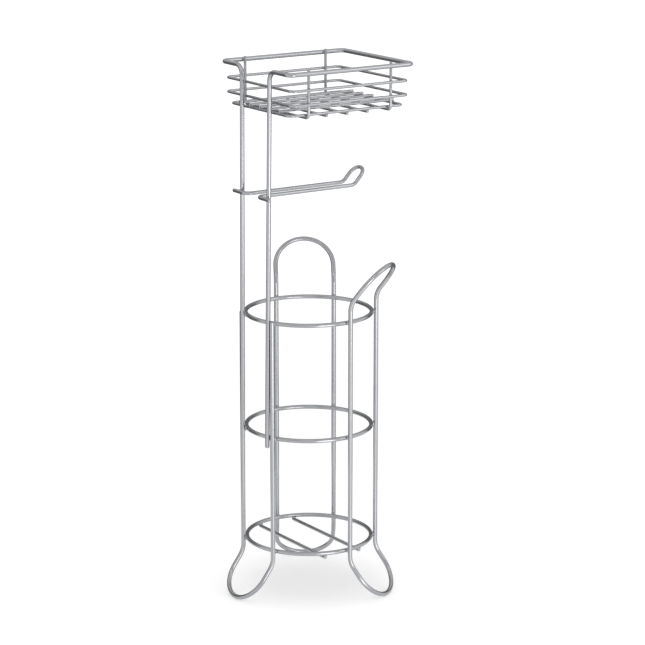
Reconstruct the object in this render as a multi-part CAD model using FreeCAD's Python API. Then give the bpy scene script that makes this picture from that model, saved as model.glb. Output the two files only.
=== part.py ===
"""Free-standing toilet roll stand of welded steel wire, with a roll arm and a wire basket on top.

Every piece is one bent or straight length of round wire, welded where it touches its neighbours.
Millimetres. +X runs along the basket from the two tall posts to its free end, +Z is up, and the
origin is on the axis of the rings at floor level.
"""
import FreeCAD, Part
import math
import os

# Wire diameters
FRAME_WIRE = 5.2
RING_WIRE = 4.8
BASE_WIRE = 4.0
ARM_WIRE = 4.4
BASKET_WIRE = 3.2

# Gap that is left between two wires where a weld joins them
WELD_GAP = 0.05

# Rings, one above another inside the legs
RING_BORE = 138.2
RING_COUNT = 3
BASE_RING_HEIGHT = 58.3
RING_PITCH = 133.0

# Straight wires across under the base ring
BASE_WIRE_COUNT = 2
BASE_WIRE_PITCH = 46.4
BASE_WIRE_OVERHANG = 1.5

# Three pairs of legs around the rings: one under the tall posts and one in each side loop
LEG_PAIR_COUNT = 3
POST_LEG_SPACING = 63.0
POST_LEG_ABOVE_RING = 3.0
LOOP_SPACING = 67.0
LEG_BEND_RADIUS = 24.0

# Splayed feet, the same on all three pairs
FOOT_BEND_HEIGHT = 44.0
FOOT_REACH = 31.2

# Tall posts: each stands beside its leg, ends below the next ring down, leans in and spreads up to the rim
POST_END_BELOW_RING = 10.5
POST_LEAN = 2.7
POST_SPREAD = 1.5

# Leaning handles on top of the two side loops
HANDLE_BEND_ABOVE_RING = 21.2
HANDLE_RISE = 41.4
HANDLE_REACH = 31.3

# Basket rim, bent from the same wire as the posts
RIM_HEIGHT = 606.4
RIM_LENGTH = 162.3
RIM_WIDTH = 137.6
RIM_CORNER_RADIUS = 6.5
POST_TOP_RADIUS = 11.0

# Two upright U wires that hang in the rim and carry the rest of the basket
CRADLE_SPACING = 108.6
CRADLE_TOP_ABOVE_RIM = 4.0
CRADLE_DEPTH = 49.4
CRADLE_BEND_RADIUS = 5.0

# Bands around the basket, below the rim
UPPER_BAND_DROP = 18.2
LOWER_BAND_DROP = 34.1
BAND_END_INSET = 5.8
BAND_CORNER_RADIUS = 6.0

# Basket floor: a frame, wires along it and wires across under it
FLOOR_END_INSET = 1.2
FLOOR_CORNER_RADIUS = 6.0
LONG_WIRE_COUNT = 5
CROSS_WIRE_COUNT = 3
CROSS_WIRE_PITCH = 27.0

# Roll arm, a hairpin with its two ends turned out across the posts
ARM_HEIGHT = 465.5
ARM_LENGTH = 140.8
ARM_LEG_SPACING = 22.0
ARM_END_OVERHANG = 10.1
ARM_SIDE_RADIUS = 8.0
ARM_TIP_RUN = 16.0
ARM_TIP_RISE = 17.2
ARM_TIP_RADIUS = 10.0

# Cut ends are rounded by this share of the wire's radius
END_ROUND_SHARE = 0.45

# Lengths below this are taken as nothing
TOLERANCE = 1e-6

# Sizes that follow from the ones above
RING_RADIUS = (RING_BORE + RING_WIRE) / 2
UPRIGHT_RADIUS = RING_RADIUS + (RING_WIRE + FRAME_WIRE) / 2 + WELD_GAP
TOP_RING_HEIGHT = BASE_RING_HEIGHT + (RING_COUNT - 1) * RING_PITCH
POST_LEG_PLANE = math.sqrt(UPRIGHT_RADIUS ** 2 - (POST_LEG_SPACING / 2) ** 2)
LOOP_PLANE = math.sqrt(UPRIGHT_RADIUS ** 2 - (LOOP_SPACING / 2) ** 2)

# Directions of the leg pairs about the ring axis, in radians
POST_DIRECTION = math.pi
FRONT_DIRECTION = POST_DIRECTION + math.tau / LEG_PAIR_COUNT
REAR_DIRECTION = POST_DIRECTION - math.tau / LEG_PAIR_COUNT

# Place of a post at the top ring: on the circle of the legs, one wire further in than its own leg
POST_STEP = 2 * math.asin((FRAME_WIRE + WELD_GAP) / (2 * UPRIGHT_RADIUS))
POST_ANGLE = math.asin(POST_LEG_SPACING / (2 * UPRIGHT_RADIUS)) - POST_STEP
POST_PLANE = UPRIGHT_RADIUS * math.cos(POST_ANGLE)
POST_SIDE = UPRIGHT_RADIUS * math.sin(POST_ANGLE)


def post_at(height):
    """How far a post stands from the ring axis along X, and from the mirror plane, at a height."""
    climb = (height - TOP_RING_HEIGHT) / (RIM_HEIGHT - TOP_RING_HEIGHT)
    return POST_PLANE - POST_LEAN * climb, POST_SIDE + POST_SPREAD * climb


# Basket sizes that follow from the ones above
RIM_LEFT = POST_LEAN - POST_PLANE
RIM_RIGHT = RIM_LEFT + RIM_LENGTH
RIM_MIDDLE = (RIM_LEFT + RIM_RIGHT) / 2
CRADLE_SIDE = RIM_WIDTH / 2 - (FRAME_WIRE + BASKET_WIRE) / 2 - WELD_GAP
CRADLE_FLOOR = RIM_HEIGHT - CRADLE_DEPTH
BAND_SIDE = CRADLE_SIDE + BASKET_WIRE + WELD_GAP
BAND_LEFT = (FRAME_WIRE + BASKET_WIRE) / 2 + WELD_GAP - post_at(RIM_HEIGHT - UPPER_BAND_DROP)[0]
BAND_RIGHT = RIM_RIGHT - BAND_END_INSET
FLOOR_LEFT = BAND_LEFT + FLOOR_END_INSET
FLOOR_RIGHT = BAND_RIGHT - FLOOR_END_INSET
FLOOR_SIDE = CRADLE_SIDE - CRADLE_BEND_RADIUS
FLOOR_HEIGHT = CRADLE_FLOOR + BASKET_WIRE + WELD_GAP


def vec(x, y, z):
    """A point or direction."""
    return FreeCAD.Vector(x, y, z)


def straight(start, end, diameter):
    """A straight length of wire between two points."""
    run = end - start
    return Part.makeCylinder(diameter / 2, run.Length, start, run)


def bend(start, heading, centre, axis, turn, diameter):
    """A bent length of wire that starts at a point with a heading and turns about an axis."""
    circle = Part.Circle(start, heading, diameter / 2).toShape()
    section = Part.Face(Part.Wire([circle]))
    return section.revolve(centre, axis, math.degrees(turn))


def corner(before, point, after, radius):
    """Tangent points, centre, axis and turn of the bend at a corner of a route."""
    heading = (point - before).normalize()
    leaving = (after - point).normalize()
    turn = heading.getAngle(leaving)
    setback = radius * math.tan(turn / 2)
    start = point - heading * setback
    axis = heading.cross(leaving).normalize()
    centre = start + axis.cross(heading) * radius
    return start, point + leaving * setback, heading, centre, axis, turn


def bent_wire(points, radii, diameter, closed=False):
    """One wire through the corner points, bent at each corner to the radius listed for it."""
    count = len(points)
    inner = range(count) if closed else range(1, count - 1)
    bends = {}
    for i in inner:
        bends[i] = corner(points[i - 1], points[i], points[(i + 1) % count], radii[i])
    pieces = []
    for i in range(count if closed else count - 1):
        following = (i + 1) % count
        begin = bends[i][1] if i in bends else points[i]
        finish = bends[following][0] if following in bends else points[following]
        if (finish - begin).Length > TOLERANCE:
            pieces.append(straight(begin, finish, diameter))
        if following in bends:
            start, _, heading, centre, axis, turn = bends[following]
            pieces.append(bend(start, heading, centre, axis, turn, diameter))
    wire = pieces[0].multiFuse(pieces[1:]) if len(pieces) > 1 else pieces[0]
    solid = wire.removeSplitter().Solids[0]
    return solid if closed else round_ends(solid, (points[0], points[-1]), diameter)


def round_ends(solid, ends, diameter):
    """The wire with the edge of each cut end rounded."""
    rims = []
    for edge in solid.Edges:
        round_edge = isinstance(edge.Curve, Part.Circle)
        if round_edge and any((edge.Curve.Center - end).Length < TOLERANCE for end in ends):
            rims.append(edge)
    return solid.makeFillet(END_ROUND_SHARE * diameter / 2, rims)


def straight_wire(start, end, diameter):
    """A straight wire with rounded ends."""
    return round_ends(straight(start, end, diameter), (start, end), diameter)


def ring(height):
    """One of the rings inside the legs."""
    return Part.makeTorus(RING_RADIUS, RING_WIRE / 2, vec(0, 0, height))


def foot_corners(plane, spacing):
    """Corners of a splayed foot as radius, offset and height, from one upright to the other."""
    half = spacing / 2
    tip = plane + FOOT_REACH
    return [
        (plane, half, FOOT_BEND_HEIGHT),
        (tip, half, FRAME_WIRE / 2),
        (tip, -half, FRAME_WIRE / 2),
        (plane, -half, FOOT_BEND_HEIGHT),
    ]


def handle_corners(plane, spacing):
    """Corners of a leaning handle as radius, offset and height, back to the first upright."""
    half = spacing / 2
    tip = plane + HANDLE_REACH
    low = TOP_RING_HEIGHT + HANDLE_BEND_ABOVE_RING
    high = low + HANDLE_RISE
    return [
        (plane, -half, low),
        (tip, -half, high),
        (tip, half, high),
        (plane, half, low),
    ]


def turned(corners, direction):
    """Corners given as radius, offset and height, turned to a direction about the ring axis."""
    along = vec(math.cos(direction), math.sin(direction), 0)
    across = vec(-math.sin(direction), math.cos(direction), 0)
    return [along * radius + across * offset + vec(0, 0, height) for radius, offset, height in corners]


def leg_radii(spacing):
    """Bend radii of one U end of a leg pair: soft bend, half U, half U, soft bend."""
    return [LEG_BEND_RADIUS, spacing / 2, spacing / 2, LEG_BEND_RADIUS]


def side_loop(direction):
    """A closed loop with a foot at the bottom and a handle at the top."""
    corners = foot_corners(LOOP_PLANE, LOOP_SPACING) + handle_corners(LOOP_PLANE, LOOP_SPACING)
    radii = leg_radii(LOOP_SPACING) + leg_radii(LOOP_SPACING)
    return bent_wire(turned(corners, direction), radii, FRAME_WIRE, closed=True)


def post_leg():
    """The U of the foot and the two legs beside the posts, cut off just above the top ring."""
    half = POST_LEG_SPACING / 2
    top = TOP_RING_HEIGHT + POST_LEG_ABOVE_RING
    foot = foot_corners(POST_LEG_PLANE, POST_LEG_SPACING)
    corners = [(POST_LEG_PLANE, half, top)] + foot + [(POST_LEG_PLANE, -half, top)]
    radii = [0] + leg_radii(POST_LEG_SPACING) + [0]
    return bent_wire(turned(corners, POST_DIRECTION), radii, FRAME_WIRE)


def with_mirror(points):
    """A route on one side of the mirror plane, carried on through its mirror image."""
    return points + [vec(p.x, -p.y, p.z) for p in reversed(points)]


def post_frame():
    """The two tall posts and the rim of the basket, in one wire."""
    end_height = TOP_RING_HEIGHT - RING_PITCH - POST_END_BELOW_RING
    end_plane, end_side = post_at(end_height)
    side = RIM_WIDTH / 2
    one_side = [
        vec(-end_plane, end_side, end_height),
        vec(RIM_LEFT, POST_SIDE + POST_SPREAD, RIM_HEIGHT),
        vec(RIM_LEFT, side, RIM_HEIGHT),
        vec(RIM_RIGHT, side, RIM_HEIGHT),
    ]
    radii = [0, POST_TOP_RADIUS, RIM_CORNER_RADIUS, RIM_CORNER_RADIUS]
    return bent_wire(with_mirror(one_side), radii + radii[::-1], FRAME_WIRE)


def roll_arm():
    """The hairpin arm, welded across the outer faces of the posts."""
    plane, side = post_at(ARM_HEIGHT)
    back = -plane - (FRAME_WIRE + ARM_WIRE) / 2 - WELD_GAP
    tip = ARM_LENGTH - plane
    leg = ARM_LEG_SPACING / 2
    one_side = [
        vec(back, side + ARM_END_OVERHANG, ARM_HEIGHT),
        vec(back, leg, ARM_HEIGHT),
        vec(tip - ARM_TIP_RUN, leg, ARM_HEIGHT),
        vec(tip, leg, ARM_HEIGHT + ARM_TIP_RISE),
    ]
    radii = [0, ARM_SIDE_RADIUS, ARM_TIP_RADIUS, leg]
    return bent_wire(with_mirror(one_side), radii + radii[::-1], ARM_WIRE)


def flat_loop(left, right, side, height, radius):
    """A level closed rectangle of basket wire with rounded corners."""
    points = [
        vec(left, -side, height),
        vec(right, -side, height),
        vec(right, side, height),
        vec(left, side, height),
    ]
    return bent_wire(points, [radius] * len(points), BASKET_WIRE, closed=True)


def band(drop):
    """A band around the basket, a given drop below the rim."""
    return flat_loop(BAND_LEFT, BAND_RIGHT, BAND_SIDE, RIM_HEIGHT - drop, BAND_CORNER_RADIUS)


def floor_frame():
    """The frame of the basket floor, which lies on the cradle wires."""
    return flat_loop(FLOOR_LEFT, FLOOR_RIGHT, FLOOR_SIDE, FLOOR_HEIGHT, FLOOR_CORNER_RADIUS)


def cradle_wire(x):
    """A U wire that runs down inside the rim, under the floor and up the other side."""
    top = RIM_HEIGHT + CRADLE_TOP_ABOVE_RIM
    points = [
        vec(x, -CRADLE_SIDE, top),
        vec(x, -CRADLE_SIDE, CRADLE_FLOOR),
        vec(x, CRADLE_SIDE, CRADLE_FLOOR),
        vec(x, CRADLE_SIDE, top),
    ]
    return bent_wire(points, [CRADLE_BEND_RADIUS] * len(points), BASKET_WIRE)


def long_wire(y):
    """A wire along the basket, on top of the floor frame and flush with its ends."""
    height = FLOOR_HEIGHT + BASKET_WIRE + WELD_GAP
    overhang = BASKET_WIRE / 2
    start = vec(FLOOR_LEFT - overhang, y, height)
    end = vec(FLOOR_RIGHT + overhang, y, height)
    return straight_wire(start, end, BASKET_WIRE)


def cross_wire(x):
    """A wire across the basket, under the floor frame and flush with its sides."""
    height = FLOOR_HEIGHT - BASKET_WIRE - WELD_GAP
    reach = FLOOR_SIDE + BASKET_WIRE / 2
    return straight_wire(vec(x, -reach, height), vec(x, reach, height), BASKET_WIRE)


def base_wire(x):
    """A straight wire across under the base ring."""
    height = BASE_RING_HEIGHT - (RING_WIRE + BASE_WIRE) / 2 - WELD_GAP
    reach = math.sqrt(RING_RADIUS ** 2 - x ** 2) + BASE_WIRE_OVERHANG
    return straight_wire(vec(x, -reach, height), vec(x, reach, height), BASE_WIRE)


def spread(count, pitch):
    """Evenly spaced places about zero."""
    return [(i - (count - 1) / 2) * pitch for i in range(count)]


def build():
    """All pieces by node name."""
    pieces = {
        "post_frame": post_frame(),
        "post_leg": post_leg(),
        "front_side_loop": side_loop(FRONT_DIRECTION),
        "rear_side_loop": side_loop(REAR_DIRECTION),
        "roll_arm": roll_arm(),
        "basket_upper_band": band(UPPER_BAND_DROP),
        "basket_lower_band": band(LOWER_BAND_DROP),
        "basket_floor_frame": floor_frame(),
    }
    for i in range(RING_COUNT):
        pieces[f"stack_ring_{i + 1}"] = ring(BASE_RING_HEIGHT + i * RING_PITCH)
    for i, x in enumerate(spread(BASE_WIRE_COUNT, BASE_WIRE_PITCH)):
        pieces[f"base_wire_{i + 1}"] = base_wire(x)
    ends = ("left", "right")
    for name, x in zip(ends, spread(len(ends), CRADLE_SPACING)):
        pieces[f"basket_cradle_wire_{name}"] = cradle_wire(RIM_MIDDLE + x)
    for i, y in enumerate(spread(LONG_WIRE_COUNT, 2 * FLOOR_SIDE / (LONG_WIRE_COUNT + 1))):
        pieces[f"basket_long_wire_{i + 1}"] = long_wire(y)
    for i, x in enumerate(spread(CROSS_WIRE_COUNT, CROSS_WIRE_PITCH)):
        pieces[f"basket_cross_wire_{i + 1}"] = cross_wire((FLOOR_LEFT + FLOOR_RIGHT) / 2 + x)
    return pieces


def main():
    """Write one STEP file for each piece."""
    os.makedirs("parts", exist_ok=True)
    for name, shape in build().items():
        shape.exportStep(f"parts/{name}.step")
        box = shape.BoundBox
        print(f"{name}: valid {shape.isValid()}, {shape.Volume:.1f} mm3, "
              f"z {box.ZMin:.2f} to {box.ZMax:.2f}")


main()
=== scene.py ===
"""Dress the welded wire toilet roll stand: smooth bent wires, weld beads, silver lacquer and a studio.

Every wire is swept along the same route as its CAD node and takes the node's place. Metres.
"""
import logging
import math
from dataclasses import dataclass, field
from enum import Enum
from typing import Any, Iterable, Sequence, Union

import bpy
from mathutils import Matrix, Vector


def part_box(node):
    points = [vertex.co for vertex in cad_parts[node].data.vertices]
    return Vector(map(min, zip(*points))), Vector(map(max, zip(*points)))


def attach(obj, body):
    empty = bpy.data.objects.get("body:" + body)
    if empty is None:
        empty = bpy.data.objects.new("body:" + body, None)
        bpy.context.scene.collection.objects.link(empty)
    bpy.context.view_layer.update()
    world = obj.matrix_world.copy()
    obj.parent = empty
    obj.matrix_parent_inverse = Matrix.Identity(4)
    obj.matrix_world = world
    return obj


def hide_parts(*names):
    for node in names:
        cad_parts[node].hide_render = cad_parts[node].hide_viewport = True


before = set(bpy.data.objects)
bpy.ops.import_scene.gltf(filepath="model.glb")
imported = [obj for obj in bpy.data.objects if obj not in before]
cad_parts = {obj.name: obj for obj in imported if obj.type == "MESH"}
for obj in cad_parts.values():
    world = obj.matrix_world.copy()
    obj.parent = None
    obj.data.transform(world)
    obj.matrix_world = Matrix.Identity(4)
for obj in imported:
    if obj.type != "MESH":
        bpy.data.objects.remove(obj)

log = logging.getLogger("roll_stand")

BODY = "root"
# Gap that stands for a weld in the CAD model
WELD_GAP = 0.00005
# Just under one, so that the bends of a half turn or a ring don't meet in runs of no length
HALF_TURN_SHARE = 0.998
BOTH_SIDES = (1, -1)
X_AXIS = Vector((1, 0, 0))
Y_AXIS = Vector((0, 1, 0))
Z_AXIS = Vector((0, 0, 1))
ALL_AXES = Vector((1, 1, 1))
Number = Union[int, float]
Level = Union["Signal", Number]


class Slot(Enum):
    """The record's material slots."""

    FRAME = "frame_wire"
    BASKET = "basket_wire"


class Gauge(Enum):
    """Wire diameters."""

    FRAME = 0.0052
    RING = 0.0048
    BASE = 0.0040
    ARM = 0.0044
    BASKET = 0.0032

    @property
    def radius(self) -> float:
        """Half the wire's diameter."""
        return self.value / 2


class Attribute(str, Enum):
    """Names of the values that a route or a weld point carries into its node tree."""

    BEND = "bend_radius"
    TAPER = "taper"
    NORMAL = "weld_normal"
    ALONG = "weld_along"
    SIZE = "weld_size"


# Places in the CAD model, and objects in the scene


def centre(node: str) -> Vector:
    """Middle of a CAD node's box."""
    low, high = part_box(node)
    return (low + high) / 2


def wire_box(node: str, gauge: Gauge) -> tuple[Vector, Vector]:
    """Lowest and highest corner of a CAD node at the middle of its wire.

    Args:
        node: The CAD node.
        gauge: Its wire's diameter.

    Returns:
        The two corners.
    """
    low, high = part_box(node)
    return low + ALL_AXES * gauge.radius, high - ALL_AXES * gauge.radius


def new_object(name: str, data: bpy.types.ID) -> bpy.types.Object:
    """Make an object and put it into the scene.

    Args:
        name: Name of the object.
        data: Its mesh, lamp or camera.

    Returns:
        The object.
    """
    made = bpy.data.objects.new(name, data)
    bpy.context.scene.collection.objects.link(made)
    return made


# Shader maths


class Signal:
    """A socket of a node tree that can be used in sums."""

    def __init__(self, socket: bpy.types.NodeSocket) -> None:
        """Wrap a socket."""
        self.socket = socket

    @property
    def tree(self) -> bpy.types.NodeTree:
        """The tree that the socket belongs to."""
        return self.socket.id_data

    def _math(self, operation: str, first: Level, second: Level) -> "Signal":
        """A Math node on two values.

        Args:
            operation: The node's operation.
            first: First value.
            second: Second value.

        Returns:
            The node's result.
        """
        values = {0: first, 1: second}
        return add_node(self.tree, "ShaderNodeMath", {"operation": operation}, values)

    def __add__(self, other: Level) -> "Signal":
        """Sum."""
        return self._math("ADD", self, other)

    def __radd__(self, other: Level) -> "Signal":
        """Sum, the other way round."""
        return self._math("ADD", other, self)

    def __sub__(self, other: Level) -> "Signal":
        """Difference."""
        return self._math("SUBTRACT", self, other)

    def __rsub__(self, other: Level) -> "Signal":
        """Difference, the other way round."""
        return self._math("SUBTRACT", other, self)

    def __mul__(self, other: Level) -> "Signal":
        """Product."""
        return self._math("MULTIPLY", self, other)

    def __rmul__(self, other: Level) -> "Signal":
        """Product, the other way round."""
        return self._math("MULTIPLY", other, self)


def feed(socket: bpy.types.NodeSocket, value: Any) -> None:
    """Link a signal to a socket, or set the socket to a plain value.

    Args:
        socket: The socket.
        value: Signal or plain value; None leaves the socket as it is.
    """
    if isinstance(value, Signal):
        value.tree.links.new(value.socket, socket)
    elif value is not None:
        socket.default_value = value


def add_node(
    tree: bpy.types.NodeTree,
    kind: str,
    settings: dict[str, Any] | None = None,
    inputs: dict[Any, Any] | None = None,
    output: Union[int, str] = 0,
) -> Signal:
    """Add a node to a shader or geometry tree.

    Args:
        tree: Tree that gets the node.
        kind: Node type.
        settings: Properties of the node, set before its sockets.
        inputs: Values, sockets or signals by socket name or number.
        output: Name or number of the output to return.

    Returns:
        One output of the node, or the node's first input if it has no output.
    """
    node = tree.nodes.new(kind)
    for name, value in (settings or {}).items():
        setattr(node, name, value)
    for key, value in (inputs or {}).items():
        feed(node.inputs[key], value)
    return Signal(node.outputs[output] if node.outputs else node.inputs[0])


def mix_colour(tree: bpy.types.NodeTree, share: Level, first: Any, second: Any) -> Signal:
    """A colour between two others.

    Args:
        tree: Shader tree.
        share: Zero for the first colour, one for the second.
        first: First colour, or a signal.
        second: Second colour, or a signal.

    Returns:
        The mixed colour.
    """
    sockets = {"Factor_Float": share, "A_Color": first, "B_Color": second}
    node = tree.nodes.new("ShaderNodeMix")
    node.data_type = "RGBA"
    for socket in node.inputs:
        feed(socket, sockets.get(socket.identifier))
    return Signal(next(socket for socket in node.outputs if socket.identifier == "Result_Color"))


def ramp(
    tree: bpy.types.NodeTree,
    value: Signal,
    span: tuple[float, float],
    levels: tuple[float, float],
) -> Signal:
    """A level that eases from one value to another over a span.

    Args:
        tree: Shader tree.
        value: What the level follows.
        span: Where the ramp starts and ends.
        levels: Levels before the start and after the end.

    Returns:
        The level.
    """
    start, end = span
    before, after = levels
    inputs = {"Value": value, "From Min": start, "From Max": end, "To Min": before, "To Max": after}
    return add_node(tree, "ShaderNodeMapRange", {"interpolation_type": "SMOOTHSTEP"}, inputs)


def grey(level: float, tint: Sequence[float] = (1.0, 1.0, 1.0)) -> tuple[float, float, float, float]:
    """A grey of a given level, as a colour with a slight tint."""
    return (level * tint[0], level * tint[1], level * tint[2], 1.0)


# Finishes


@dataclass(frozen=True)
class SilverLacquer:
    """Satin silver lacquer on steel wire."""

    name: str
    pale: float = 0.43
    dull: float = 0.37
    tint: tuple[float, float, float] = (0.975, 0.99, 1.03)
    roughness: float = 0.20
    roughness_swing: float = 0.06
    cloud_scale: float = 60.0
    flake_scale: float = 5200.0
    flake_share: float = 0.25
    peel_scale: float = 900.0
    peel_height: float = 0.000002
    cloud_detail: float = 4.0
    flake_detail: float = 1.0
    peel_detail: float = 2.0

    def material(self) -> bpy.types.Material:
        """The finish as a material, made once."""
        return bpy.data.materials.get(self.name) or self._mixed()

    def _mixed(self) -> bpy.types.Material:
        """Mix a new material: cloudy silver with fine flakes and a faint orange peel.

        Returns:
            The material.
        """
        made = bpy.data.materials.new(self.name)
        made.use_nodes = True
        tree = made.node_tree
        shader = tree.nodes["Principled BSDF"]
        place = add_node(tree, "ShaderNodeTexCoord", output="Object")
        cloud = self._noise(tree, place, self.cloud_scale, self.cloud_detail)
        flake = self._noise(tree, place, self.flake_scale, self.flake_detail)
        peel = self._noise(tree, place, self.peel_scale, self.peel_detail)
        share = cloud * (1 - self.flake_share) + flake * self.flake_share
        colour = mix_colour(tree, share, grey(self.dull, self.tint), grey(self.pale, self.tint))
        rough = (1 - cloud) * self.roughness_swing + (self.roughness - self.roughness_swing / 2)
        bump = add_node(tree, "ShaderNodeBump", inputs={"Height": peel, "Distance": self.peel_height})
        looks = {"Metallic": 1.0, "Base Color": colour, "Roughness": rough, "Normal": bump}
        for label, value in looks.items():
            feed(shader.inputs[label], value)
        return made

    @staticmethod
    def _noise(tree: bpy.types.NodeTree, place: Signal, scale: float, detail: float) -> Signal:
        """Noise on object coordinates.

        Args:
            tree: Shader tree.
            place: Coordinates.
            scale: Number of features to a metre.
            detail: Octaves.

        Returns:
            The noise, from zero to one.
        """
        inputs = {"Vector": place, "Scale": scale, "Detail": detail}
        return add_node(tree, "ShaderNodeTexNoise", inputs=inputs)


# Wire routes


@dataclass
class Route:
    """Corner points of a wire with the bend radius at each."""

    points: list[Vector]
    radii: list[float]
    closed: bool = False

    @classmethod
    def straight(cls, node: str, axis: Vector) -> "Route":
        """A straight wire along an axis, as long as its CAD node.

        Args:
            node: The CAD node.
            axis: Direction of the wire.

        Returns:
            The route.
        """
        low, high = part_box(node)
        reach = axis * ((high - low).dot(axis) / 2)
        return cls([centre(node) - reach, centre(node) + reach], [0.0, 0.0])

    @classmethod
    def rectangle(cls, low: Vector, high: Vector, radius: float) -> "Route":
        """A level closed rectangle with rounded corners; a square with half its side is a circle.

        Args:
            low: Corner with the least X and Y.
            high: Corner with the greatest X and Y, at the same height.
            radius: Bend radius at the corners.

        Returns:
            The route.
        """
        corners = [(low.x, low.y), (high.x, low.y), (high.x, high.y), (low.x, high.y)]
        return cls([Vector((x, y, low.z)) for x, y in corners], [radius] * len(corners), True)

    @classmethod
    def mirrored(cls, points: list[Vector], radii: list[float]) -> "Route":
        """An open wire whose second half is the first one's image in the X-Z plane.

        Args:
            points: Corner points of the first half.
            radii: Bend radii of the first half.

        Returns:
            The route.
        """
        image = [Vector((p.x, -p.y, p.z)) for p in reversed(points)]
        return cls(points + image, radii + radii[::-1])

    def turned(self, angle: float) -> "Route":
        """The route turned about the Z axis by an angle in radians."""
        turn = Matrix.Rotation(angle, 3, "Z")
        return Route([turn @ point for point in self.points], list(self.radii), self.closed)


@dataclass
class Wire:
    """A wire to be swept: its CAD node, route, gauge and steps in each bend."""

    node: str
    route: Route
    gauge: Gauge
    bend_steps: int = 12


@dataclass(frozen=True)
class WireEnd:
    """Rounded edge of a cut wire end."""

    round_share: float = 0.45
    steps: int = 4

    def profile(self, radius: float) -> list[tuple[float, float]]:
        """Distances from the end and shares of the wire's radius there, from the end inwards.

        Args:
            radius: The wire's radius.

        Returns:
            Pairs of distance and share.
        """
        depth = self.round_share * radius
        pairs = []
        for step in range(self.steps + 1):
            angle = math.pi / 2 * (1 - step / self.steps)
            drawn_in = self.round_share * (1 - math.cos(angle))
            pairs.append((depth * (1 - math.sin(angle)), 1 - drawn_in))
        return pairs


# Node trees that make the meshes


class NodeTree:
    """A geometry node tree with named inputs."""

    def __init__(self, name: str, inputs: dict[str, tuple[str, Any]]) -> None:
        """Make the tree and its inputs.

        Args:
            name: Name of the tree.
            inputs: Socket type and default value by input name.
        """
        self.tree = bpy.data.node_groups.new(name, "GeometryNodeTree")
        face = self.tree.interface
        face.new_socket("Geometry", in_out="INPUT", socket_type="NodeSocketGeometry")
        face.new_socket("Geometry", in_out="OUTPUT", socket_type="NodeSocketGeometry")
        self.identifiers: dict[str, str] = {}
        for label, (kind, default) in inputs.items():
            socket = face.new_socket(label, in_out="INPUT", socket_type=kind)
            if default is not None:
                socket.default_value = default
            self.identifiers[label] = socket.identifier
        self.source = self.tree.nodes.new("NodeGroupInput")

    def given(self, label: str) -> Signal:
        """One of the tree's inputs."""
        return Signal(self.source.outputs[label])

    def add(self, kind: str, settings: dict[str, Any] | None = None, output: Union[int, str] = 0,
            **inputs: Any) -> Signal:
        """Add a node, with its sockets named in words joined by underscores.

        Args:
            kind: Node type.
            settings: Properties of the node.
            output: Name or number of the output to return.
            **inputs: Values or signals by socket name.

        Returns:
            One output of the node.
        """
        named = {label.replace("_", " "): value for label, value in inputs.items()}
        return add_node(self.tree, kind, settings, named, output)

    def attribute(self, name: Attribute, data_type: str) -> Signal:
        """A named value of the incoming points."""
        return self.add("GeometryNodeInputNamedAttribute", {"data_type": data_type}, Name=name.value)

    def finish(self, shape: Signal) -> None:
        """End the tree with smooth shading, realized instances and the material.

        Args:
            shape: The geometry to hand over.
        """
        smooth = self.add("GeometryNodeSetShadeSmooth", Geometry=shape)
        real = self.add("GeometryNodeRealizeInstances", Geometry=smooth)
        dressed = self.add("GeometryNodeSetMaterial", Geometry=real, Material=self.given("Material"))
        end = self.tree.nodes.new("NodeGroupOutput")
        feed(end.inputs["Geometry"], dressed)

    def run(self, name: str, seed_mesh: bpy.types.Mesh, values: dict[str, Any]) -> bpy.types.Object:
        """Run the tree on a mesh and keep the result as a plain mesh object.

        Args:
            name: Name of the new object.
            seed_mesh: Points or edges that the tree starts from.
            values: Input values by name.

        Returns:
            The new object, at the origin.
        """
        seed = new_object(name + "_seed", seed_mesh)
        modifier = seed.modifiers.new("shape", "NODES")
        modifier.node_group = self.tree
        for label, value in values.items():
            modifier[self.identifiers[label]] = value
        graph = bpy.context.evaluated_depsgraph_get()
        mesh = bpy.data.meshes.new_from_object(seed.evaluated_get(graph))
        seed.modifiers.remove(modifier)
        bpy.data.objects.remove(seed)
        mesh.name = name
        return new_object(name, mesh)


def store(mesh: bpy.types.Mesh, name: Attribute, values: Iterable[Any]) -> None:
    """Store a number or a vector on each point of a mesh.

    Args:
        mesh: The mesh.
        name: Attribute name.
        values: One value for each point.
    """
    listed = list(values)
    if isinstance(listed[0], Vector):
        flat = [part for value in listed for part in value]
        mesh.attributes.new(name.value, "FLOAT_VECTOR", "POINT").data.foreach_set("vector", flat)
    else:
        mesh.attributes.new(name.value, "FLOAT", "POINT").data.foreach_set("value", listed)


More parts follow.
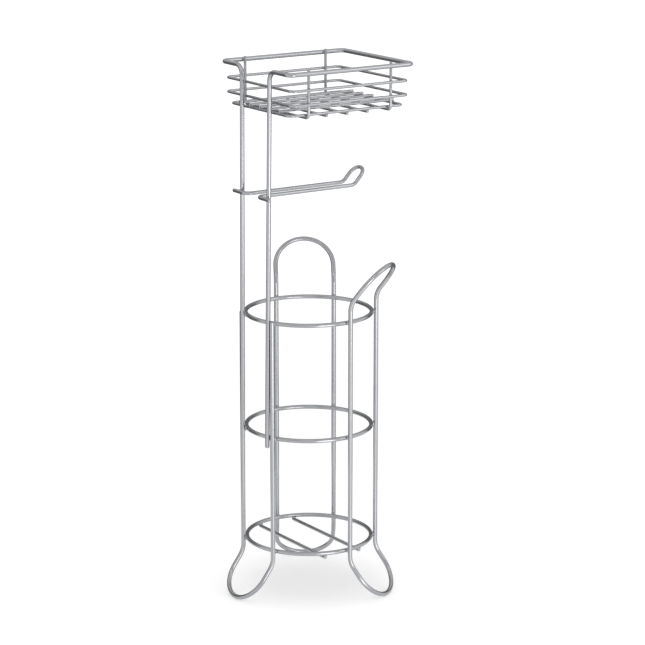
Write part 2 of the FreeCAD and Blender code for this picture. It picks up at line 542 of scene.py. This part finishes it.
class WireBender:
    """Sweeps round wire along routes."""

    MERGE = 0.00001

    def __init__(self, end: WireEnd = WireEnd(), sides: int = 24) -> None:
        """Build the node tree.

        Args:
            end: Shape of cut ends.
            sides: Number of sides of the swept wire.
        """
        self.end = end
        self.sides = sides
        nodes = NodeTree("bent_wire", {
            "Radius": ("NodeSocketFloat", Gauge.FRAME.radius),
            "Sides": ("NodeSocketInt", sides),
            "Bend Steps": ("NodeSocketInt", 1),
            "Material": ("NodeSocketMaterial", None),
        })
        line = nodes.add("GeometryNodeMeshToCurve", Mesh=nodes.given("Geometry"))
        bends = nodes.attribute(Attribute.BEND, "FLOAT")
        bent = nodes.add("GeometryNodeFilletCurve", {"mode": "POLY"}, Curve=line,
                         Count=nodes.given("Bend Steps"), Radius=bends)
        section = nodes.add("GeometryNodeCurvePrimitiveCircle", {"mode": "RADIUS"},
                            Resolution=nodes.given("Sides"), Radius=nodes.given("Radius"))
        taper = nodes.attribute(Attribute.TAPER, "FLOAT")
        tube = nodes.add("GeometryNodeCurveToMesh", Curve=bent, Profile_Curve=section, Scale=taper,
                         Fill_Caps=True)
        nodes.finish(nodes.add("GeometryNodeMergeByDistance", Geometry=tube, Distance=self.MERGE))
        self.nodes = nodes

    def make(self, wire: Wire, material: bpy.types.Material) -> bpy.types.Object:
        """Sweep one wire.

        Args:
            wire: The wire.
            material: Finish.

        Returns:
            The wire's object.
        """
        points, radii, tapers = self._with_ends(wire.route, wire.gauge)
        edges = [(i, i + 1) for i in range(len(points) - 1)]
        if wire.route.closed:
            edges.append((len(points) - 1, 0))
        mesh = bpy.data.meshes.new(wire.node + "_route")
        mesh.from_pydata(points, edges, [])
        store(mesh, Attribute.BEND, radii)
        store(mesh, Attribute.TAPER, tapers)
        values = {"Radius": wire.gauge.radius, "Sides": self.sides, "Bend Steps": wire.bend_steps,
                  "Material": material}
        return self.nodes.run(wire.node + "_wire", mesh, values)

    def _with_ends(self, route: Route, gauge: Gauge) -> tuple[list[Vector], list[float], list[float]]:
        """A route's points, bend radii and tapers, with its cut ends drawn in.

        Args:
            route: The route.
            gauge: The wire's diameter.

        Returns:
            Points, bend radii and tapers.
        """
        if route.closed:
            return list(route.points), list(route.radii), [1.0] * len(route.points)
        profile = self.end.profile(gauge.radius)
        first = self._end_points(route.points[0], route.points[1], profile)
        last = self._end_points(route.points[-1], route.points[-2], profile)[::-1]
        inner = route.points[1:-1]
        shares = [share for _, share in profile]
        radii = [0.0] * len(first) + list(route.radii[1:-1]) + [0.0] * len(last)
        return first + inner + last, radii, shares + [1.0] * len(inner) + shares[::-1]

    @staticmethod
    def _end_points(end: Vector, inwards: Vector, profile: list[tuple[float, float]]) -> list[Vector]:
        """Points of a rounded end, from the end inwards."""
        heading = (inwards - end).normalized()
        return [end + heading * distance for distance, _ in profile]


@dataclass
class Weld:
    """A weld between two crossing wires: its place, the line from wire to wire and one wire's run."""

    point: Vector
    normal: Vector
    along: Vector
    thinner_radius: float


class Welder:
    """Sets a bead into the hollow around each crossing."""

    SPREAD_SHARE = 1.25
    HEIGHT_SHARE = 0.62
    UNEVEN_SHARE = 0.10
    LUMPS_PER_METRE = 420.0
    BEAD_SUBDIVISIONS = 3
    NOISE_MIDDLE = 0.5
    SEED = 7.0

    def __init__(self) -> None:
        """Build the node tree."""
        nodes = NodeTree("weld_beads", {
            "Unevenness": ("NodeSocketFloat", self.UNEVEN_SHARE * Gauge.RING.radius),
            "Lumps": ("NodeSocketFloat", self.LUMPS_PER_METRE),
            "Seed": ("NodeSocketFloat", self.SEED),
            "Material": ("NodeSocketMaterial", None),
        })
        bead = nodes.add("GeometryNodeMeshIcoSphere", Radius=1.0, Subdivisions=self.BEAD_SUBDIVISIONS)
        axes = {"primary_axis": "Z", "secondary_axis": "X"}
        turn = nodes.add("FunctionNodeAxesToRotation", axes,
                         Primary_Axis=nodes.attribute(Attribute.NORMAL, "FLOAT_VECTOR"),
                         Secondary_Axis=nodes.attribute(Attribute.ALONG, "FLOAT_VECTOR"))
        beads = nodes.add("GeometryNodeInstanceOnPoints", Points=nodes.given("Geometry"), Instance=bead,
                          Rotation=turn, Scale=nodes.attribute(Attribute.SIZE, "FLOAT_VECTOR"))
        real = nodes.add("GeometryNodeRealizeInstances", Geometry=beads)
        place = nodes.add("GeometryNodeInputPosition")
        lumps = nodes.add("ShaderNodeTexNoise", {"noise_dimensions": "4D"}, Vector=place,
                          W=nodes.given("Seed"), Scale=nodes.given("Lumps"))
        swing = (lumps - self.NOISE_MIDDLE) * (1 / self.NOISE_MIDDLE)
        lift = swing * nodes.given("Unevenness")
        facing = nodes.add("GeometryNodeInputNormal")
        offset = nodes.add("ShaderNodeVectorMath", {"operation": "SCALE"}, Vector=facing, Scale=lift)
        nodes.finish(nodes.add("GeometryNodeSetPosition", Geometry=real, Offset=offset))
        self.nodes = nodes

    def make(self, name: str, welds: Sequence[Weld], material: bpy.types.Material) -> bpy.types.Object:
        """Set the beads of some welds as one object.

        Args:
            name: Name of the object.
            welds: The welds.
            material: Finish.

        Returns:
            The beads' object.
        """
        mesh = bpy.data.meshes.new(name + "_points")
        mesh.from_pydata([weld.point for weld in welds], [], [])
        store(mesh, Attribute.NORMAL, [weld.normal for weld in welds])
        store(mesh, Attribute.ALONG, [weld.along for weld in welds])
        store(mesh, Attribute.SIZE, [self._size(weld) for weld in welds])
        thickest = max(weld.thinner_radius for weld in welds)
        values = {"Unevenness": self.UNEVEN_SHARE * thickest, "Lumps": self.LUMPS_PER_METRE,
                  "Seed": self.SEED, "Material": material}
        return self.nodes.run(name, mesh, values)

    def _size(self, weld: Weld) -> Vector:
        """Half sizes of a bead, across the crossing and along its normal."""
        spread = self.SPREAD_SHARE * weld.thinner_radius
        return Vector((spread, spread, self.HEIGHT_SHARE * weld.thinner_radius))


# Sub-assemblies


@dataclass(frozen=True)
class LegPair:
    """Two legs on the circle around the rings, with a splayed foot."""

    spacing: float
    circle: float
    direction: float
    bend_radius: float = 0.024
    foot_bend_height: float = 0.044
    foot_reach: float = 0.0312

    @property
    def plane(self) -> float:
        """Distance of the two legs' plane from the ring axis."""
        return math.sqrt(self.circle ** 2 - (self.spacing / 2) ** 2)

    def places(self, radius: float, height: float) -> list[Vector]:
        """Two points in line with the legs, for a pair that faces +X."""
        return [Vector((radius, side * self.spacing / 2, height)) for side in BOTH_SIDES]

    def leaning_end(self, reach: float, bend_height: float, tip_height: float) -> Route:
        """The U at one end of the legs, which leans out, for a pair that faces +X.

        Args:
            reach: How far the U leans out.
            bend_height: Height where the legs bend outwards.
            tip_height: Height of the U's tip.

        Returns:
            The U from one leg to the other.
        """
        first, last = self.places(self.plane, bend_height)
        tip = self.places(self.plane + reach, tip_height)
        half_turn = HALF_TURN_SHARE * self.spacing / 2
        return Route([first, *tip, last], [self.bend_radius, half_turn, half_turn, self.bend_radius])

    def foot(self) -> Route:
        """The foot, for a pair that faces +X."""
        return self.leaning_end(self.foot_reach, self.foot_bend_height, Gauge.FRAME.radius)

    def uprights(self) -> list[Vector]:
        """Where the two legs stand."""
        turn = Matrix.Rotation(self.direction, 3, "Z")
        return [turn @ place for place in self.places(self.plane, 0.0)]


@dataclass(frozen=True)
class PostPair:
    """The two tall posts: one wire further in than their legs, leaning and spreading up to the rim."""

    legs: LegPair
    ring_height: float
    rim_height: float
    lean: float = 0.0027
    spread: float = 0.0015

    def at(self, height: float) -> list[Vector]:
        """Middles of the two posts at a height.

        Args:
            height: Height above the floor.

        Returns:
            The post on the +Y side, then the other.
        """
        step = 2 * math.asin((Gauge.FRAME.value + WELD_GAP) / (2 * self.legs.circle))
        angle = math.asin(self.legs.spacing / (2 * self.legs.circle)) - step
        climb = (height - self.ring_height) / (self.rim_height - self.ring_height)
        x = self.lean * climb - self.legs.circle * math.cos(angle)
        y = self.spread * climb + self.legs.circle * math.sin(angle)
        return [Vector((x, side * y, height)) for side in BOTH_SIDES]


@dataclass
class SubAssembly:
    """A group of wires and welds with one finish."""

    slot: Slot
    finish: SilverLacquer
    weld_finish: SilverLacquer
    pieces: list[bpy.types.Object] = field(default_factory=list, init=False)

    BEADS = ""

    def wires(self) -> list[Wire]:
        """The group's wires."""
        raise NotImplementedError

    def welds(self) -> list[Weld]:
        """The group's welds."""
        return []

    def build(self, bender: WireBender, welder: Welder) -> None:
        """Make the group's meshes and put the wires in the place of their CAD nodes.

        Args:
            bender: Sweeps the wires.
            welder: Sets the beads.
        """
        for wire in self.wires():
            piece = bender.make(wire, self.finish.material())
            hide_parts(wire.node)
            self.pieces.append(piece)
        welds = self.welds()
        if welds:
            self.pieces.append(welder.make(self.BEADS, welds, self.weld_finish.material()))

    def dress(self) -> None:
        """Let the pieces ride on the stand."""
        for piece in self.pieces:
            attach(piece, BODY)
            log.info("%s: %d faces", piece.name, len(piece.data.polygons))


@dataclass(kw_only=True)
class RingStack(SubAssembly):
    """The three rings inside the legs and the two wires under the lowest."""

    legs: list[Vector]
    posts: PostPair
    quarter_steps: int = 28

    RING_NODES = ("stack_ring_1", "stack_ring_2", "stack_ring_3")
    BASE_NODES = ("base_wire_1", "base_wire_2")
    BEADS = "ring_weld_beads"

    @classmethod
    def radius(cls) -> float:
        """Radius of a ring at the middle of its wire."""
        return wire_box(cls.RING_NODES[0], Gauge.RING)[1].x

    def wires(self) -> list[Wire]:
        """The rings and the base wires.

        Returns:
            The wires.
        """
        made = []
        corner = Vector((self.radius(), self.radius(), 0))
        for node in self.RING_NODES:
            lift = Z_AXIS * centre(node).z
            route = Route.rectangle(lift - corner, lift + corner, HALF_TURN_SHARE * self.radius())
            made.append(Wire(node, route, Gauge.RING, self.quarter_steps))
        for node in self.BASE_NODES:
            made.append(Wire(node, Route.straight(node, Y_AXIS), Gauge.BASE))
        return made

    def welds(self) -> list[Weld]:
        """Rings on the legs and posts, and base wires under the lowest ring.

        Returns:
            The welds.
        """
        made = []
        for node in self.RING_NODES:
            height = centre(node).z
            made += [self._upright_weld(leg, height) for leg in self.legs]
        for node in self.RING_NODES[1:]:
            height = centre(node).z
            made += [self._upright_weld(post, height) for post in self.posts.at(height)]
        under = centre(self.RING_NODES[0]).z - Gauge.RING.radius
        for node in self.BASE_NODES:
            x = centre(node).x
            crossing = math.sqrt(self.radius() ** 2 - x ** 2)
            for side in BOTH_SIDES:
                made.append(Weld(Vector((x, side * crossing, under)), Z_AXIS, Y_AXIS, Gauge.BASE.radius))
        return made

    def _upright_weld(self, upright: Vector, height: float) -> Weld:
        """The weld of a ring on an upright, half way between the two wires.

        Args:
            upright: A point of the upright's middle line.
            height: Height of the ring.

        Returns:
            The weld.
        """
        level = upright.xy.to_3d()
        ring_face = self.radius() + Gauge.RING.radius
        upright_face = level.length - Gauge.FRAME.radius
        outwards = level.normalized()
        point = outwards * ((ring_face + upright_face) / 2) + Z_AXIS * height
        return Weld(point, outwards, Z_AXIS, Gauge.RING.radius)


@dataclass(kw_only=True)
class SideLoops(SubAssembly):
    """The two closed loops with a foot at the bottom and a leaning handle at the top."""

    pairs: dict[str, LegPair]
    handle_above_ring: float = 0.0212
    handle_reach: float = 0.0313
    bend_steps: int = 16

    def wires(self) -> list[Wire]:
        """Both loops, each from its foot up to its handle.

        Returns:
            The wires.
        """
        made = []
        bend_height = centre(RingStack.RING_NODES[-1]).z + self.handle_above_ring
        for node, pair in self.pairs.items():
            foot = pair.foot()
            tip_height = wire_box(node, Gauge.FRAME)[1].z
            handle = pair.leaning_end(self.handle_reach, bend_height, tip_height)
            loop = Route(foot.points + handle.points[::-1], foot.radii + handle.radii[::-1], True)
            made.append(Wire(node, loop.turned(pair.direction), Gauge.FRAME, self.bend_steps))
        return made


@dataclass(kw_only=True)
class PostLegs(SubAssembly):
    """The open U of a foot and two legs, which stand beside the posts and end above the top ring."""

    pair: LegPair
    bend_steps: int = 16

    NODE = "post_leg"

    def wires(self) -> list[Wire]:
        """The one wire of the U.

        Returns:
            The wire, in a list.
        """
        foot = self.pair.foot()
        first, last = self.pair.places(self.pair.plane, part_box(self.NODE)[1].z)
        route = Route([first, *foot.points, last], [0.0, *foot.radii, 0.0])
        return [Wire(self.NODE, route.turned(self.pair.direction), Gauge.FRAME, self.bend_steps)]


@dataclass(kw_only=True)
class PostFrame(SubAssembly):
    """The two tall posts and the basket rim in one wire."""

    posts: PostPair
    end_below_ring: float = 0.0105
    rim_corner_radius: float = 0.0065
    post_top_radius: float = 0.011
    bend_steps: int = 14

    NODE = "post_frame"

    @classmethod
    def rim_corner(cls) -> Vector:
        """The rim's corner with the greatest X and Y, at the middle of its wire."""
        return wire_box(cls.NODE, Gauge.FRAME)[1]

    def wires(self) -> list[Wire]:
        """The one wire of the frame.

        Returns:
            The wire, in a list.
        """
        corner = self.rim_corner()
        end_height = centre(RingStack.RING_NODES[1]).z - self.end_below_ring
        end, top = self.posts.at(end_height)[0], self.posts.at(corner.z)[0]
        half = [end, top, Vector((top.x, corner.y, corner.z)), corner]
        radii = [0.0, self.post_top_radius, self.rim_corner_radius, self.rim_corner_radius]
        return [Wire(self.NODE, Route.mirrored(half, radii), Gauge.FRAME, self.bend_steps)]


@dataclass(kw_only=True)
class RollArm(SubAssembly):
    """The hairpin arm with a raised tip."""

    posts: PostPair
    leg_spacing: float = 0.022
    side_radius: float = 0.008
    tip_run: float = 0.016
    tip_radius: float = 0.010
    bend_steps: int = 14

    NODE = "roll_arm"
    BEADS = "arm_weld_beads"

    def wires(self) -> list[Wire]:
        """The hairpin, with its ends turned out across the posts.

        Returns:
            The wire, in a list.
        """
        low, high = wire_box(self.NODE, Gauge.ARM)
        leg = self.leg_spacing / 2
        half = [
            Vector((low.x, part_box(self.NODE)[1].y, low.z)),
            Vector((low.x, leg, low.z)),
            Vector((high.x - self.tip_run, leg, low.z)),
            Vector((high.x, leg, high.z)),
        ]
        radii = [0.0, self.side_radius, self.tip_radius, HALF_TURN_SHARE * leg]
        return [Wire(self.NODE, Route.mirrored(half, radii), Gauge.ARM, self.bend_steps)]

    def welds(self) -> list[Weld]:
        """The arm's ends across the posts.

        Returns:
            The welds.
        """
        height = wire_box(self.NODE, Gauge.ARM)[0].z
        back = X_AXIS * Gauge.FRAME.radius
        return [Weld(post - back, X_AXIS, Z_AXIS, Gauge.ARM.radius) for post in self.posts.at(height)]


@dataclass(kw_only=True)
class Basket(SubAssembly):
    """The wire basket inside the rim."""

    posts: PostPair
    corner_radius: float = 0.006
    cradle_bend_radius: float = 0.005

    BANDS = ("basket_upper_band", "basket_lower_band")
    FLOOR = "basket_floor_frame"
    CRADLES = ("basket_cradle_wire_left", "basket_cradle_wire_right")
    LONG_WIRES = tuple(f"basket_long_wire_{i}" for i in range(1, 6))
    CROSS_WIRES = tuple(f"basket_cross_wire_{i}" for i in range(1, 4))
    BEADS = "basket_weld_beads"

    def wires(self) -> list[Wire]:
        """Bands, floor frame, cradles and the wires of the floor.

        Returns:
            The wires.
        """
        made = []
        for node in (*self.BANDS, self.FLOOR):
            low, high = wire_box(node, Gauge.BASKET)
            made.append(Wire(node, Route.rectangle(low, high, self.corner_radius), Gauge.BASKET))
        made += [Wire(node, self._cradle(node), Gauge.BASKET) for node in self.CRADLES]
        made += [Wire(node, Route.straight(node, X_AXIS), Gauge.BASKET) for node in self.LONG_WIRES]
        made += [Wire(node, Route.straight(node, Y_AXIS), Gauge.BASKET) for node in self.CROSS_WIRES]
        return made

    def _cradle(self, node: str) -> Route:
        """The U of a cradle wire.

        Args:
            node: The wire's CAD node.

        Returns:
            The route.
        """
        low, high = wire_box(node, Gauge.BASKET)
        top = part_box(node)[1].z
        half = [Vector((low.x, high.y, top)), Vector((low.x, high.y, low.z))]
        return Route.mirrored(half, [0.0, self.cradle_bend_radius])

    def welds(self) -> list[Weld]:
        """Crossings of the basket's wires with each other, the rim and the posts.

        Returns:
            The welds.
        """
        thin = Gauge.BASKET.radius
        made = []
        heights = [centre(node).z for node in self.BANDS] + [PostFrame.rim_corner().z]
        for node in self.CRADLES:
            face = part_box(node)[1].y
            for z in heights:
                for side in BOTH_SIDES:
                    made.append(Weld(Vector((centre(node).x, side * face, z)), Y_AXIS, X_AXIS, thin))
        front = X_AXIS * Gauge.FRAME.radius
        for node in self.BANDS:
            made += [Weld(post + front, X_AXIS, Y_AXIS, thin) for post in self.posts.at(centre(node).z)]
        low, high = wire_box(self.FLOOR, Gauge.BASKET)
        for node in self.CRADLES + self.CROSS_WIRES:
            for y in (low.y, high.y):
                made.append(Weld(Vector((centre(node).x, y, low.z - thin)), Z_AXIS, X_AXIS, thin))
        for node in self.LONG_WIRES:
            for x in (low.x, high.x):
                made.append(Weld(Vector((x, centre(node).y, high.z + thin)), Z_AXIS, X_AXIS, thin))
        return made


# Studio


def direction(azimuth: float, elevation: float) -> Vector:
    """Direction from the stand towards a viewer.

    Args:
        azimuth: Degrees about the Z axis; zero is a viewer that looks along +Y.
        elevation: Degrees above the horizon.

    Returns:
        A unit vector.
    """
    a, e = math.radians(azimuth), math.radians(elevation)
    return Vector((math.sin(a) * math.cos(e), -math.cos(a) * math.cos(e), math.sin(e)))


def empty_material(name: str) -> bpy.types.Material:
    """A material whose node tree is still empty.

    Args:
        name: Name of the material.

    Returns:
        The material.
    """
    made = bpy.data.materials.new(name)
    made.use_nodes = True
    made.node_tree.nodes.clear()
    return made


@dataclass(frozen=True)
class Softbox:
    """A soft rectangular lamp that faces the stand; a glow of one shows as plain white."""

    name: str
    azimuth: float
    elevation: float
    distance: float
    width: float
    height: float
    glow: float

    def build(self, target: Vector) -> None:
        """Make the lamp.

        Args:
            target: Point that it faces.
        """
        data = bpy.data.lights.new(self.name, "AREA")
        data.shape = "RECTANGLE"
        data.size = self.width
        data.size_y = self.height
        data.energy = self.glow * math.pi * self.width * self.height
        made = new_object(self.name, data)
        back = direction(self.azimuth, self.elevation)
        made.location = target + back * self.distance
        made.rotation_euler = (-back).to_track_quat("-Z", "Y").to_euler()
        made.visible_camera = False


@dataclass(frozen=True)
class Card:
    """A card bent round the stand that only reflections see, with a shade that changes with height.

    Azimuths are its two ends, the profile is its outline in radius and height, and the lower shade turns
    into the upper one over the heights of the change.
    """

    name: str
    azimuths: tuple[float, float]
    profile: tuple[tuple[float, float], ...]
    shades: tuple[float, float]
    change: tuple[float, float] = (0.62, 1.20)
    steps: int = 24

    def build(self) -> None:
        """Sweep the profile of radius and height about the Z axis."""
        first, last = self.azimuths
        points = []
        for step in range(self.steps + 1):
            out = direction(first + (last - first) * step / self.steps, 0.0)
            points += [out * radius + Z_AXIS * height for radius, height in self.profile]
        row = len(self.profile)
        corners = [step * row + place for step in range(self.steps) for place in range(row - 1)]
        faces = [(i, i + 1, i + row + 1, i + row) for i in corners]
        mesh = bpy.data.meshes.new(self.name)
        mesh.from_pydata(points, [], faces)
        mesh.materials.append(self._material())
        made = new_object(self.name, mesh)
        made.visible_camera = False
        made.visible_diffuse = False
        made.visible_shadow = False

    def _material(self) -> bpy.types.Material:
        """A plain glow from the lower shade to the upper one.

        Returns:
            The material.
        """
        made = empty_material(self.name)
        tree = made.node_tree
        place = add_node(tree, "ShaderNodeTexCoord", output="Object")
        height = add_node(tree, "ShaderNodeSeparateXYZ", inputs={"Vector": place}, output="Z")
        strength = ramp(tree, height, self.change, self.shades)
        glow = add_node(tree, "ShaderNodeEmission", inputs={"Strength": strength})
        add_node(tree, "ShaderNodeOutputMaterial", inputs={"Surface": glow})
        return made


@dataclass
class Studio:
    """White floor and surroundings, soft lamps, cards and the camera."""

    azimuth: float = -33.83
    elevation: float = 13.78
    distance: float = 2.905
    lens: float = 142.78
    sensor: float = 36.0
    aim_height: float = 0.3106
    aim_right: float = 0.0157
    floor_size: float = 14.0
    floor_colour: float = 0.80
    floor_near_to_far: tuple[float, float] = (0.4, 3.0)
    floor_glows: tuple[float, float] = (0.43, 0.62)
    # Reach and depth of the painted shadow under the stand, taken off the floor's glow
    painted_shadow_reach: tuple[float, float] = (0.03, 0.13)
    painted_shadow_depth: float = 0.17
    ambient: float = 0.70
    softboxes: tuple[Softbox, ...] = (
        Softbox("key_strip", azimuth=-3.0, elevation=-3.7, distance=1.1,
                width=0.55, height=0.42, glow=2.8),
        Softbox("side_softbox", azimuth=38.0, elevation=18.0, distance=2.0,
                width=0.8, height=0.9, glow=1.3),
        Softbox("front_softbox", azimuth=-36.0, elevation=45.0, distance=2.2,
                width=0.9, height=0.5, glow=1.6),
    )
    cards: tuple[Card, ...] = (
        Card("grey_sweep", azimuths=(88.0, 230.0), shades=(0.21, 0.80),
             profile=((0.45, 0.002), (1.20, 0.002), (1.30, 0.10), (1.30, 1.50), (0.90, 2.10), (0.05, 2.30))),
        Card("grey_front", azimuths=(-75.0, 25.0), shades=(0.75, 0.75),
             profile=((1.40, 0.45), (1.40, 1.70))),
        Card("bright_strip", azimuths=(-18.0, 11.0), shades=(2.1, 2.1),
             profile=((0.14, 0.002), (1.05, 0.002))),
    )

    def build(self) -> None:
        """Make everything around the stand."""
        self._camera()
        self._floor()
        self._world()
        for softbox in self.softboxes:
            softbox.build(Z_AXIS * self.aim_height)
        for card in self.cards:
            card.build()
        bpy.context.scene.view_settings.view_transform = "Standard"

    def _camera(self) -> None:
        """The camera at the photograph's viewing angle."""
        data = bpy.data.cameras.new("camera")
        data.lens = self.lens
        data.sensor_width = self.sensor
        back = direction(self.azimuth, self.elevation)
        right = Z_AXIS.cross(back).normalized()
        aim = right * self.aim_right + Z_AXIS * self.aim_height
        made = new_object("camera", data)
        made.location = aim + back * self.distance
        made.rotation_euler = (-back).to_track_quat("-Z", "Y").to_euler()
        bpy.context.scene.camera = made

    @staticmethod
    def _seen(tree: bpy.types.NodeTree) -> Signal:
        """Tell rays that show the surroundings, straight or reflected or through glass, from lighting ones.

        Args:
            tree: Shader tree.

        Returns:
            One for a ray that shows the surroundings, zero for any other.
        """
        camera = add_node(tree, "ShaderNodeLightPath", output="Is Camera Ray")
        glossy = add_node(tree, "ShaderNodeLightPath", output="Is Glossy Ray")
        through = add_node(tree, "ShaderNodeLightPath", output="Is Transmission Ray")
        return camera + glossy + through

    def _floor(self) -> None:
        """The white floor, which takes the stand's shadow, with a painted shadow under the stand as well."""
        half = self.floor_size / 2
        mesh = bpy.data.meshes.new("floor")
        corners = [(-half, -half, 0), (half, -half, 0), (half, half, 0), (-half, half, 0)]
        mesh.from_pydata(corners, [], [tuple(range(len(corners)))])
        mesh.materials.append(self._floor_material())
        new_object("floor", mesh)

    def _floor_material(self) -> bpy.types.Material:
        """Matt white with a glow, stronger where the lamps don't reach and weaker under the stand as a
        painted shadow.

        Returns:
            The material.
        """
        made = empty_material("white_floor")
        tree = made.node_tree
        place = add_node(tree, "ShaderNodeTexCoord", output="Object")
        away = add_node(tree, "ShaderNodeVectorMath", {"operation": "LENGTH"}, {0: place}, "Value")
        glow_level = ramp(tree, away, self.floor_near_to_far, self.floor_glows)
        # Painted shadow: the glow is lowered under the stand and is weakest at its middle
        shade = ramp(tree, away, self.painted_shadow_reach, (self.painted_shadow_depth, 0.0))
        strength = (glow_level - shade) * self._seen(tree)
        matt = add_node(tree, "ShaderNodeBsdfDiffuse", inputs={"Color": grey(self.floor_colour)})
        glow = add_node(tree, "ShaderNodeEmission", inputs={"Strength": strength})
        both = add_node(tree, "ShaderNodeAddShader", inputs={0: matt, 1: glow})
        add_node(tree, "ShaderNodeOutputMaterial", inputs={"Surface": both})
        return made

    def _world(self) -> None:
        """White surroundings."""
        world = bpy.data.worlds.new("white_studio")
        world.use_nodes = True
        tree = world.node_tree
        tree.nodes.clear()
        strength = self._seen(tree) * (1 - self.ambient) + self.ambient
        glow = add_node(tree, "ShaderNodeBackground", inputs={"Color": grey(1.0), "Strength": strength})
        add_node(tree, "ShaderNodeOutputWorld", inputs={"Surface": glow})
        bpy.context.scene.world = world


@dataclass(frozen=True)
class Plan:
    """Where the legs and posts stand around the rings."""

    post_leg_spacing: float = 0.063
    loop_spacing: float = 0.067
    pair_count: int = 3

    @property
    def circle(self) -> float:
        """Radius of the circle that all the legs stand on."""
        return RingStack.radius() + Gauge.RING.radius + Gauge.FRAME.radius + WELD_GAP

    def post_legs(self) -> LegPair:
        """The legs beside the posts, which face -X."""
        return LegPair(self.post_leg_spacing, self.circle, math.pi)

    def loop_legs(self) -> dict[str, LegPair]:
        """The legs of the two side loops, one step round the rings either way from the posts.

        Returns:
            The pairs of legs by CAD node.
        """
        step = math.tau / self.pair_count
        turns = {"front_side_loop": math.pi + step, "rear_side_loop": math.pi - step}
        return {node: LegPair(self.loop_spacing, self.circle, turn) for node, turn in turns.items()}

    def posts(self) -> PostPair:
        """The tall posts."""
        top_ring = centre(RingStack.RING_NODES[-1]).z
        return PostPair(self.post_legs(), top_ring, PostFrame.rim_corner().z)


def main() -> None:
    """Build the stand's pieces in order, dress them, and set up the studio."""
    logging.basicConfig(level=logging.INFO, format="%(name)s: %(message)s")
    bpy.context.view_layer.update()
    log.info("%d CAD nodes to dress", len(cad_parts))

    plan = Plan()
    posts, post_legs, loop_legs = plan.posts(), plan.post_legs(), plan.loop_legs()
    legs = [place for pair in (post_legs, *loop_legs.values()) for place in pair.uprights()]
    weld_skin = SilverLacquer("weld_lacquer", roughness=0.38, peel_height=0.0001)
    frame_looks = (Slot.FRAME, SilverLacquer("frame_lacquer"), weld_skin)
    basket_looks = (Slot.BASKET, SilverLacquer("basket_lacquer"), weld_skin)
    groups: list[SubAssembly] = [
        PostFrame(*frame_looks, posts=posts),
        PostLegs(*frame_looks, pair=post_legs),
        SideLoops(*frame_looks, pairs=loop_legs),
        RingStack(*frame_looks, legs=legs, posts=posts),
        RollArm(*frame_looks, posts=posts),
        Basket(*basket_looks, posts=posts),
    ]
    bender, welder = WireBender(), Welder()
    for group in groups:
        group.build(bender, welder)
        group.dress()
    Studio().build()


if __name__ == "__main__":
    main()
